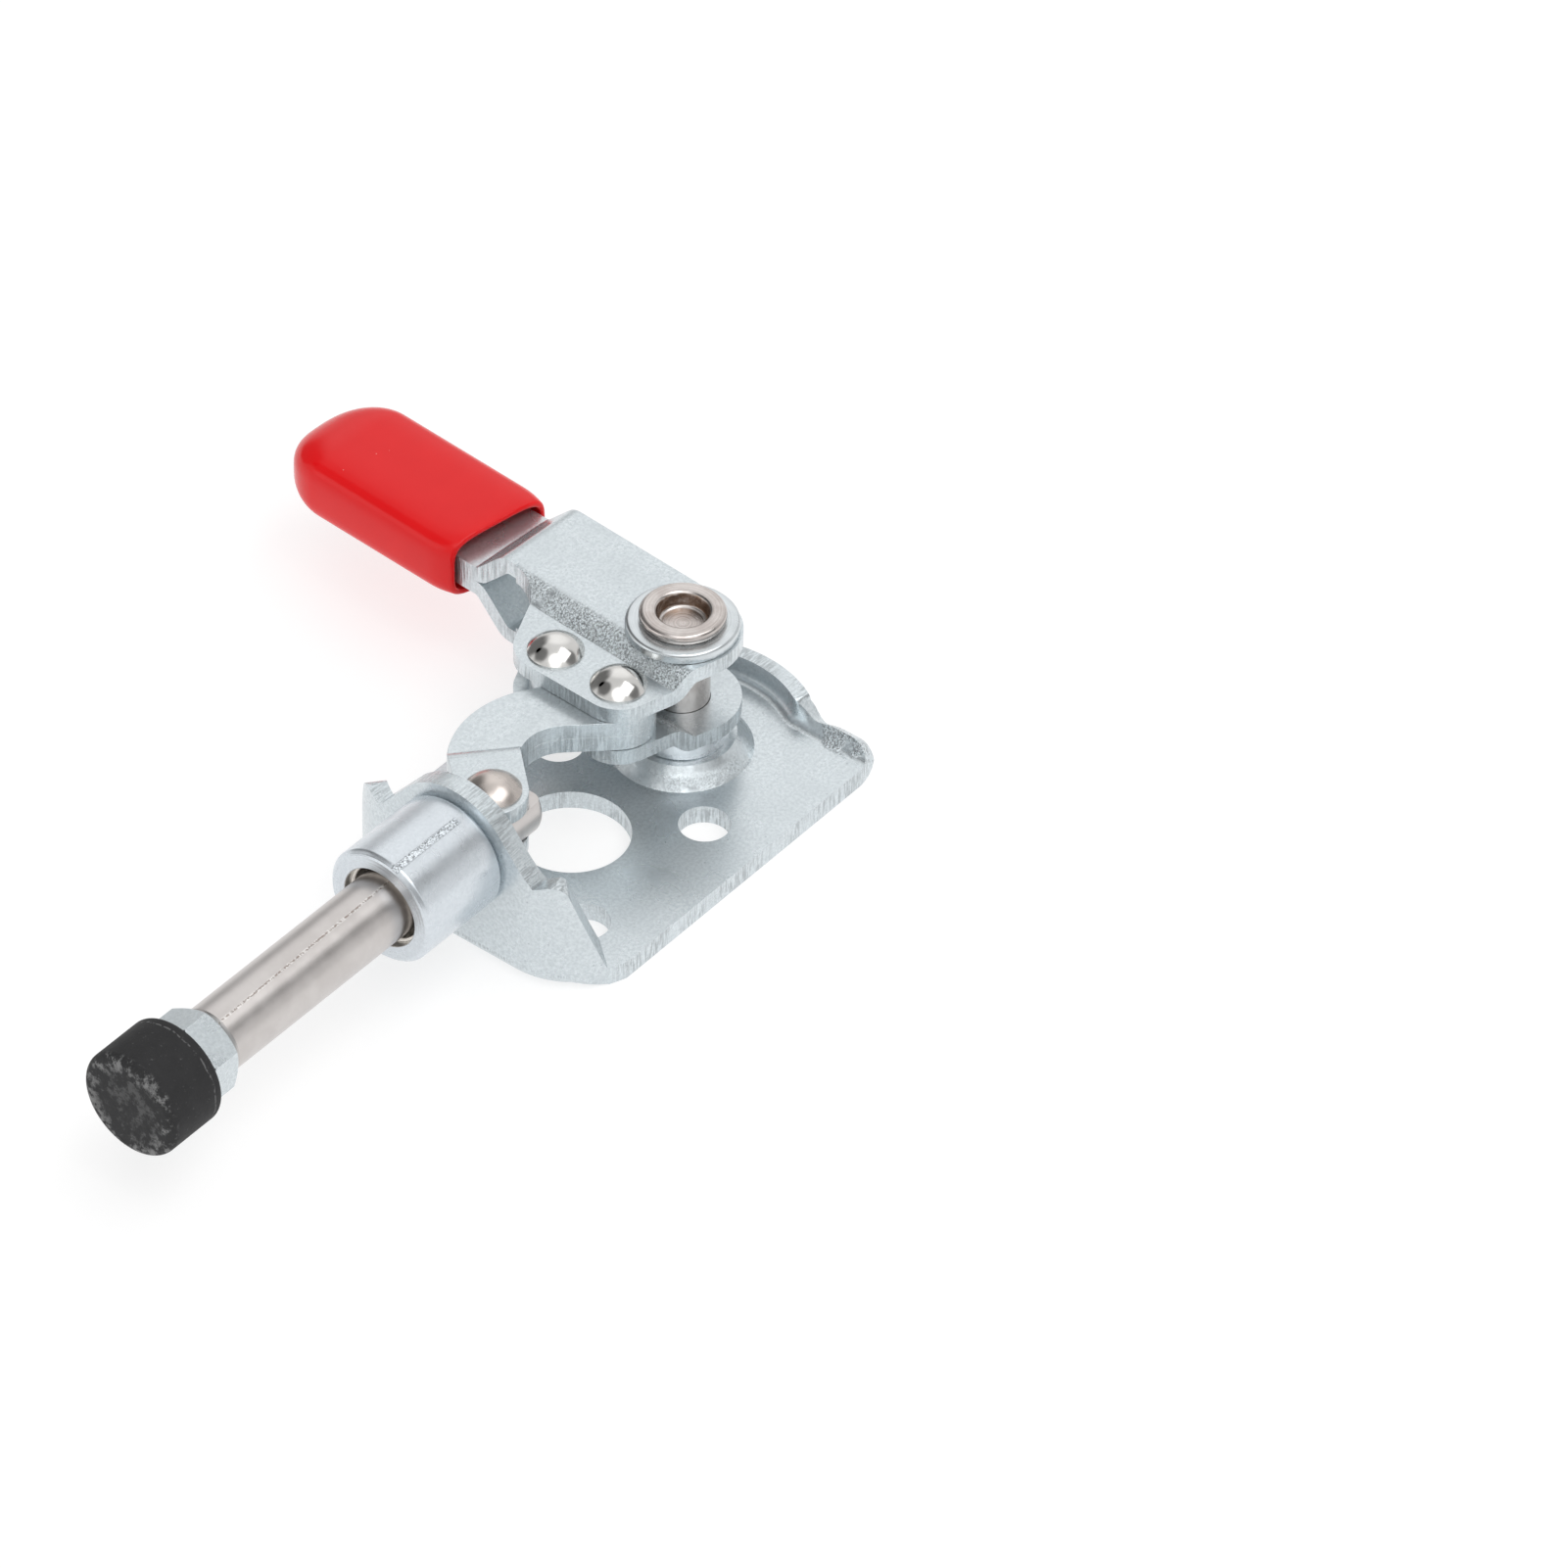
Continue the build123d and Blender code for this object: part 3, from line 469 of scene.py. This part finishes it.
# The plain rear edge comes off along the sections' inner ends, and the formed one takes its place.
past_side, past_rear, below, above = 15, -30, -1, 8
cut_line = [ring[0][:2] for ring in edge_rings]
cut_line = [
    (cut_line[0][0], -past_side),
    *cut_line[1:-1],
    (cut_line[-1][0], past_side),
    (past_rear, past_side),
    (past_rear, -past_side),
]
corners = len(cut_line)
cutter = add_mesh(
    "cutter",
    [(x, y, z) for z in (below, above) for x, y in cut_line],
    [tuple(range(corners))[::-1], tuple(range(corners, 2 * corners))]
    + [(i, (i + 1) % corners, corners + (i + 1) % corners, corners + i) for i in range(corners)],
)
formed_base = bpy.data.objects.new("formed_base", frame["nodes"]["base_plate"].data.copy())
bpy.context.scene.collection.objects.link(formed_base)
for tool, operation in ((cutter, "DIFFERENCE"), (formed_edge, "UNION")):
    form = bmesh.new()
    form.from_mesh(tool.data)
    bmesh.ops.recalc_face_normals(form, faces=form.faces)
    form.to_mesh(tool.data)
    form.free()
    join = formed_base.modifiers.new(operation, "BOOLEAN")
    join.operation = operation
    join.object = tool
    join.solver = "EXACT"
base_mesh = bpy.data.meshes.new_from_object(formed_base.evaluated_get(bpy.context.evaluated_depsgraph_get()))
for scrap in (formed_base, formed_edge, cutter):
    bpy.data.objects.remove(scrap)


boss_foot_r = 5.6  # crystals lie from here out to where the boss has run into the sheet
boss_end_r = 7.2
corner_from_r = 11.9  # and again beyond this radius, on the lip


def base_crystals(tree, here):
    """Round the foot of the pivot's boss and inside the curled rear corners."""
    from_boss = from_axis(tree, here, (pivot_x, 0, 0), (1, 1, 0))
    boss = between(tree, from_boss, boss_end_r * mm, (boss_end_r - 1.2) * mm)
    boss = times(tree, boss, between(tree, from_boss, (boss_foot_r - 0.6) * mm, boss_foot_r * mm))
    corner = between(tree, split(tree, here)["X"], -21.8 * mm, -22.8 * mm)
    corner = times(tree, corner, between(tree, from_boss, corner_from_r * mm, (corner_from_r + 0.5) * mm))
    patchy = between(tree, cloud(tree, here, 0.5), 0.42, 0.58)
    return times(tree, maths(tree, "MAXIMUM", times(tree, boss, 0.4), corner), patchy)


web_centre_x, web_centre_y = 7.9, 6.5  # the axis of each drawn front corner
rim_front_x, rim_reach = -20, 12  # the rim lies behind this line and inside this radius from the pivot
wall_lean, drawn_lean = 0.3, 0.35  # how far a cut wall's normal may lean, on flat and on drawn sheet


def punched(face):
    """True for the base's cut edges: hole walls, outline, and the top edges of flange, webs and rim."""
    place = face.calc_center_median() / mm
    if max(corner.co.z for corner in face.verts) < (sheet + 0.05) * mm:
        return abs(face.normal.z) < wall_lean
    if place.x > web_centre_x:
        past_axis = math.copysign(max(abs(place.y) - web_centre_y, 0), place.y)
        outward = Vector((place.x - web_centre_x, past_axis, 0)).normalized()
        return abs(face.normal.dot(outward)) < drawn_lean
    outward = Vector((place.x - pivot_x, place.y, 0))
    if place.x < rim_front_x and outward.length < rim_reach:
        return abs(face.normal.dot(outward.normalized())) < drawn_lean
    return abs(face.normal.y) > 0.95


softened(
    "base_plate",
    zinc_finish("base_zinc", 0.30, 0.8, crystals_at=base_crystals),
    0.28,
    edge_material=zinc_finish("base_zinc_punched", 0.22, 0.5, 0.006, lines=6.5),
    is_edge=punched,
    formed=base_mesh,
)

# ---- Guide sleeve ---------------------------------------------------------------------------
# The sleeve is turned from bar, pressed into the flange and plated with it. A narrow pitted seam
# runs along it, its front rim is brighter, and its bore keeps the rings of the tool.
axis_z = 10.4
sleeve_r = 5.4
sleeve_mouth_r = 3.75
# Pale warm tone for the inside of the bore: painted light, lighter than the bore's own colour, so the deep
# bore does not render dark.
painted_light_bore_tone = (0.92, 0.89, 0.84)
seam_at = 72.0  # degrees round from level
seam_from_x = 16.6

turned, given, here = new_group(
    "turned_rings", {"Radius": 0.0, "Rings": 5.0}, {"Shade": "Float", "Height": "Float"}
)
tool_marks = add_node(
    turned,
    "ShaderNodeTexNoise",
    {"noise_dimensions": "1D"},
    W=times(turned, given["Radius"], maths(turned, "DIVIDE", given["Rings"], mm)),
    Scale=1.0,
    Detail=2.0,
    Roughness=0.6,
).outputs[0]
ring_lines = between(turned, tool_marks, 0.35, 0.65)
ring_shade = maths(turned, "MULTIPLY_ADD", ring_lines, 0.35, 0.65)
add_node(turned, "NodeGroupOutput", Shade=ring_shade, Height=ring_lines)


def round_rod(tree, here):
    """Angle about the plunger's axis in degrees, and place along it in millimetres."""
    place = split(tree, here)
    angle = maths(tree, "ARCTAN2", maths(tree, "SUBTRACT", place["Z"], axis_z * mm), place["Y"])
    return times(tree, angle, 180 / math.pi), maths(tree, "DIVIDE", place["X"], mm)


def off_from(tree, value, centre):
    """How far a value lies from a centre, either way."""
    return maths(tree, "ABSOLUTE", maths(tree, "SUBTRACT", value, centre))


material, tree, bsdf, here = new_finish("sleeve_zinc")
sleeve_pale, sleeve_deep = (0.70, 0.745, 0.785, 1), (0.64, 0.685, 0.725, 1)
plate = placed(tree, zinc, Grain=0.35, Pitting=0.3, Pale=sleeve_pale, Deep=sleeve_deep)
around, along = round_rod(tree, here)
radius = from_axis(tree, here, (0, 0, axis_z), (0, 1, 1))
outside = between(tree, radius, (sleeve_r - 0.4) * mm, (sleeve_r - 0.2) * mm)
seam = between(tree, off_from(tree, around, seam_at), 4.2, 2.6)
seam = times(tree, seam, between(tree, along, seam_from_x, seam_from_x + 0.6), outside)
bore = between(tree, radius, (sleeve_mouth_r + 0.07) * mm, (sleeve_mouth_r - 0.03) * mm)
cutting = placed(tree, turned, Radius=radius, Rings=6.0)
seam_pits = placed(tree, spangle, Size=0.16)
colour = shaded(tree, seam, plate["Color"], seam_pits["Shade"])
# Paints light into the bore: everything inside the mouth's radius takes the pale tone.
colour = mixed(tree, bore, colour, painted_light_bore_tone)
relief = maths(tree, "MULTIPLY_ADD", times(tree, seam_pits["Height"], seam), 6.0, plate["Height"])
inner_rings = times(tree, cutting["Height"], maths(tree, "SUBTRACT", 1.0, outside))
relief = maths(tree, "MULTIPLY_ADD", inner_rings, 2.0, relief)
surface(tree, bsdf, colour, plate["Roughness"], relief, 0.008, 0.85)
softened("guide_sleeve", material, 0.12)

# ---- Pivot ----------------------------------------------------------------------------------
# A tubular post is riveted over a washer, with a bright ring under the plates to space them.
# The post is nickel plated and keeps the fine rings of its turning.
nickel, given, here = new_group(
    "satin_nickel",
    {"Pale": (0.70, 0.67, 0.63), "Deep": (0.55, 0.52, 0.49), "Gloss": 0.25},
    {"Color": "Color", "Roughness": "Float", "Height": "Float"},
)
haze = cloud(nickel, here, 0.4, 3, 0.6)
add_node(
    nickel,
    "NodeGroupOutput",
    Color=mixed(nickel, between(nickel, haze, 0.3, 0.7), given["Deep"], given["Pale"]),
    Roughness=maths(nickel, "MULTIPLY_ADD", haze, 0.15, given["Gloss"]),
    Height=cloud(nickel, here, 6.0, 2, 0.6),
)
stain_tone = (0.27, 0.19, 0.14)


def nickel_finish(name, gloss, depth, pale, deep, ringed=0.0, stain_r=0):
    """Nickel plate. ringed is how strongly turning shows round the pivot, with a stain at stain_r."""
    material, tree, bsdf, here = new_finish(name)
    plate = placed(tree, nickel, Pale=(*pale, 1), Deep=(*deep, 1), Gloss=gloss)
    colour, relief = plate["Color"], plate["Height"]
    if ringed:
        radius = from_axis(tree, here, (pivot_x, 0, 0), (1, 1, 0))
        cutting = placed(tree, turned, Radius=radius, Rings=7.0)
        colour = shaded(tree, ringed, colour, cutting["Shade"])
        relief = maths(tree, "MULTIPLY_ADD", cutting["Height"], 4.0 * ringed, relief)
        if stain_r:
            stain = between(tree, off_from(tree, radius, stain_r * mm), 0.14 * mm, 0.04 * mm)
            stain = times(tree, stain, between(tree, cloud(tree, here, 0.9, 3, 0.6), 0.25, 0.6))
            colour = mixed(tree, stain, colour, stain_tone)
    surface(tree, bsdf, colour, plate["Roughness"], relief, depth)
    return material


post_bore_r = 2.2
post_finish = nickel_finish(
    "post_nickel", 0.16, 0.003, (0.70, 0.655, 0.63), (0.55, 0.50, 0.475), ringed=0.5, stain_r=post_bore_r
)
softened("pivot_post", post_finish, 0.42)
washer_finish = nickel_finish(
    "washer_nickel", 0.20, 0.002, (0.71, 0.75, 0.77), (0.60, 0.64, 0.66), ringed=0.3
)
softened("head_washer", washer_finish, 0.0)
ring_finish = nickel_finish("ring_bright", 0.06, 0.001, (0.90, 0.92, 0.94), (0.82, 0.85, 0.88))
softened("spacer_ring", ring_finish, 0.15)

# ---- Handle ---------------------------------------------------------------------------------
# Two mirrored plates, joggled along their length and again at the neck, are held apart by the
# rivets and closed together inside the grip. The long joggle is coarsely crystalline.


def joggle_crystals(tree, here):
    """The slanted strip between the pivot end and the riveted side."""
    normal = facing(tree)
    strip = between(tree, maths(tree, "ABSOLUTE", normal["X"]), 0.12, 0.45)
    strip = times(tree, strip, between(tree, maths(tree, "ABSOLUTE", normal["Z"]), 0.5, 0.65))
    return times(tree, strip, between(tree, cloud(tree, here, 0.45), 0.25, 0.45))


def upright_wall(face):
    """True for the sheared walls of a flat-lying plate."""
    return abs(face.normal.z) < wall_lean


plate_edge = zinc_finish("plate_zinc_sheared", 0.22, 0.4, 0.014, lines=4.0)


def plate_skins(names, finish):
    """Sheet parts with plated faces and sheared edges."""
    for name in names:
        softened(name, finish, 0.16, edge_material=plate_edge, is_edge=upright_wall)


plate_skins(
    ("handle_upper_plate", "handle_lower_plate"),
    zinc_finish("handle_zinc", 0.28, 0.6, crystals_at=joggle_crystals),
)

# ---- Rivets ---------------------------------------------------------------------------------
# Two polished rivets join the plates, one of them through the stop sleeve. The third joins the
# link's fork to the plunger.
rivet_finish = nickel_finish("rivet_bright", 0.07, 0.001, (0.76, 0.75, 0.73), (0.68, 0.67, 0.65))
for name in ("link_rivet", "stop_rivet"):
    softened(name, rivet_finish, 0.0)
fork_rivet_finish = nickel_finish("rivet_satin", 0.20, 0.003, (0.66, 0.60, 0.56), (0.52, 0.48, 0.45))
for name in ("fork_rivet_upper", "fork_rivet_lower", "fork_rivet_core"):
    softened(name, fork_rivet_finish, 0.0)
softened("stop_sleeve", zinc_finish("stop_sleeve_zinc"), 0.1)

# ---- Link -----------------------------------------------------------------------------------
# Two crescent plies lie face to face and step apart at the fork to pass the plunger's tang.
# They are punched from zinc-plated sheet, as the handle's plates are.
plate_skins(("link_upper_ply", "link_lower_ply"), zinc_finish("link_zinc", 0.28, 0.5))

# ---- Grip -----------------------------------------------------------------------------------
# The grip is red vinyl, dipped over the two plates' tang, soft and glossy, with a little dust
# on it.
grip_root_x = -15.43  # where the grip's middle line crosses the pivot's
grip_axis = (-0.0644, -0.9979)
grip_tip = 44.15  # distances along the middle line
grip_mouth = 22.0
tip_round_from, nose_round_from = 38.7, 38.2  # where it rounds off, seen from above and from the side
grip_half_width, grip_half_height = 5.78, 3.28
grip_taper = 0.004
round_power = 2.1
side_power, tip_power = 4.4, 2.8
mouth_lip, mouth_lip_length = 0.5, 2.6
mouth_slant = math.radians(6)
slant_from, slant_run = 30, 8  # the rings lean over to the mouth's slant along this stretch
skin_wall = 0.5
ring_points = 72


def grip_section(far, inset, mouth_share):
    """One ring of the dipped skin at a distance along the grip; the mouth is cut out of square."""
    tip_turn = min(max((far - tip_round_from) / (grip_tip - tip_round_from), 0), 1)
    nose_turn = min(max((far - nose_round_from) / (grip_tip - nose_round_from), 0), 1)
    lip = max(0, 1 - (far - grip_mouth) / mouth_lip_length) ** 2
    wide = grip_half_width * (1 - tip_turn**round_power) ** (1 / round_power) - mouth_lip * lip - inset
    tall = grip_half_height + grip_taper * (far - grip_mouth)
    tall = tall * (1 - nose_turn**round_power) ** (1 / round_power) - mouth_lip / 5 * lip - inset
    power = 2 / (side_power + (tip_power - side_power) * tip_turn)
    ring = []
    for step in range(ring_points):
        turn = 2 * math.pi * step / ring_points
        aside = max(wide, 0.02) * math.copysign(abs(math.cos(turn)) ** power, math.cos(turn))
        up = max(tall, 0.02) * math.copysign(abs(math.sin(turn)) ** power, math.sin(turn))
        reach = far + mouth_share * aside * math.tan(mouth_slant)
        x = grip_root_x + grip_axis[0] * reach - grip_axis[1] * aside
        ring.append((x, grip_axis[1] * reach + grip_axis[0] * aside, axis_z + up))
    return ring


# Sections from the closed tip to the mouth, round its rolled lip and a little way back inside.
cap_foot = 37.5
cap_steps, lip_steps = 24, 7
lip_r = skin_wall / 2
outer_run = []
for step in range(cap_steps + 1):
    outer_run.append(grip_tip - (grip_tip - cap_foot) * (1 - math.cos(math.pi / 2 * step / cap_steps)))
for step in range(1, cap_steps + 1):
    outer_run.append(cap_foot - (cap_foot - grip_mouth - lip_r) * step / cap_steps)
skin_rings = [grip_section(far, 0, eased((slant_from - far) / slant_run)) for far in outer_run]
for step in range(1, lip_steps + 1):
    angle = math.pi * step / lip_steps
    far = grip_mouth + lip_r * (1 - math.sin(angle))
    skin_rings.append(grip_section(far, lip_r * (1 - math.cos(angle)), 1))
skin_rings += [grip_section(far, skin_wall, 1) for far in (23.0, 24.0, 25.5)]
last = (len(skin_rings) - 1) * ring_points
skin_faces = [(a, d, c, b) for a, b, c, d in side_faces(len(skin_rings), ring_points)]
skin_faces += [tuple(range(ring_points))[::-1], tuple(range(last, last + ring_points))]
skin = add_mesh("dipped_skin", [point for ring in skin_rings for point in ring], skin_faces)

material, tree, bsdf, here = new_finish("red_vinyl")
vinyl_deep, vinyl_bright, dust_tone = (0.72, 0.008, 0.010), (0.78, 0.012, 0.014), (0.9, 0.5, 0.45)
vinyl_tone = mixed(tree, cloud(tree, here, 0.3), vinyl_deep, vinyl_bright)
dust = add_node(tree, "ShaderNodeTexVoronoi", Vector=here, Scale=0.9 / mm).outputs
dust_kind = add_node(tree, "ShaderNodeSeparateColor", Color=dust["Color"]).outputs[0]
dust_at = between(tree, dust["Distance"], 0.07, 0.03)
dust_at = times(tree, dust_at, between(tree, dust_kind, 0.72, 0.74))
vinyl_tone = mixed(tree, times(tree, dust_at, 0.6), vinyl_tone, dust_tone)
gloss = maths(tree, "MULTIPLY_ADD", cloud(tree, here, 0.5), 0.06, 0.13)
surface(tree, bsdf, vinyl_tone, gloss, cloud(tree, here, 0.8), 0.003, 0.0)
bsdf.inputs["Specular IOR Level"].default_value = 0.24
softened("handle_grip", material, 0.0, 50, formed=skin.data.copy())
bpy.data.objects.remove(skin)

# ---- Plunger --------------------------------------------------------------------------------
# The plunger is ground bar, nickel plated, with two flats milled on its rear end. One long
# scratch and a few specks show where it slides in the sleeve.
material, tree, bsdf, here = new_finish("rod_nickel")
plate = placed(tree, nickel, Pale=(0.62, 0.59, 0.575, 1), Deep=(0.56, 0.53, 0.515, 1), Gloss=0.24)
around, along = round_rod(tree, here)
scratch_lean, scratch_start = -0.39, 86.9  # degrees round for each millimetre along, and at x = 0
scratch_at = maths(tree, "MULTIPLY_ADD", along, scratch_lean, scratch_start)
off_line = off_from(tree, around, scratch_at)
broken = between(tree, cloud(tree, here, 4.0, 3, 0.7), 0.44, 0.54)
scratch = times(tree, between(tree, off_line, 2.0, 0.9), broken)
bright_side = times(tree, between(tree, off_line, 3.4, 2.2), maths(tree, "SUBTRACT", 1.0, broken))
rubbed_tone, scratch_tone = (0.80, 0.78, 0.76), (0.30, 0.24, 0.21)
colour = mixed(tree, times(tree, bright_side, 0.7), plate["Color"], rubbed_tone)
colour = mixed(tree, times(tree, scratch, 0.8), colour, scratch_tone)
relief = maths(tree, "MULTIPLY_ADD", scratch, -4.0, plate["Height"])
surface(tree, bsdf, colour, plate["Roughness"], relief, 0.004)
softened("plunger_rod", material, 0.08)

# ---- Tip ------------------------------------------------------------------------------------
# A rubber cap is moulded on the head of a stud, locked by a nut. The cap has a ragged parting
# line near its back and pale scuffs on its face.
nut_finish = zinc_finish("nut_zinc", 0.3, 0.1, 0.003)
softened("jam_nut", nut_finish, 0.10)
softened("tip_stud", nut_finish, 0.0)
tip_face_x = 56.0
parting_x = 51.0
scuff_tone = (0.22, 0.22, 0.22)
material, tree, bsdf, here = new_finish("black_rubber")
along = maths(tree, "DIVIDE", split(tree, here)["X"], mm)
wander = maths(tree, "MULTIPLY_ADD", cloud(tree, here, 0.8), 0.3, along)
parting = between(tree, off_from(tree, wander, parting_x), 0.10, 0.04)
parting = times(tree, parting, between(tree, cloud(tree, here, 2.5, 2, 0.6), 0.42, 0.55))
radius = from_axis(tree, here, (0, 0, axis_z), (0, 1, 1))
near_rim = maths(tree, "MULTIPLY_ADD", between(tree, radius, 2.6 * mm, 4.4 * mm), 0.7, 0.3)
worn = between(tree, cloud(tree, here, 0.85, 5, 0.72), 0.47, 0.62)
worn = times(tree, worn, between(tree, along, tip_face_x - 0.8, tip_face_x - 0.3), near_rim)
flecks = times(tree, between(tree, cloud(tree, here, 3.2, 3, 0.7), 0.62, 0.74), 0.25)
pale_at = maths(tree, "MAXIMUM", flecks, times(tree, parting, 0.5))
pale_at = maths(tree, "MAXIMUM", times(tree, worn, 0.95), pale_at)
rubber_dark, rubber_pale = (0.017, 0.017, 0.018), (0.030, 0.030, 0.031)
rubber_tone = mixed(tree, cloud(tree, here, 1.0, 3, 0.6), rubber_dark, rubber_pale)
rubber_tone = mixed(tree, pale_at, rubber_tone, scuff_tone)
dullness = maths(tree, "MULTIPLY_ADD", cloud(tree, here, 0.8), 0.15, 0.60)
relief = maths(tree, "MULTIPLY_ADD", parting, 2.0, cloud(tree, here, 4.0))
surface(tree, bsdf, rubber_tone, dullness, relief, 0.02, 0.0)
bsdf.inputs["Specular IOR Level"].default_value = 0.25
softened("rubber_tip", material, 0.0)
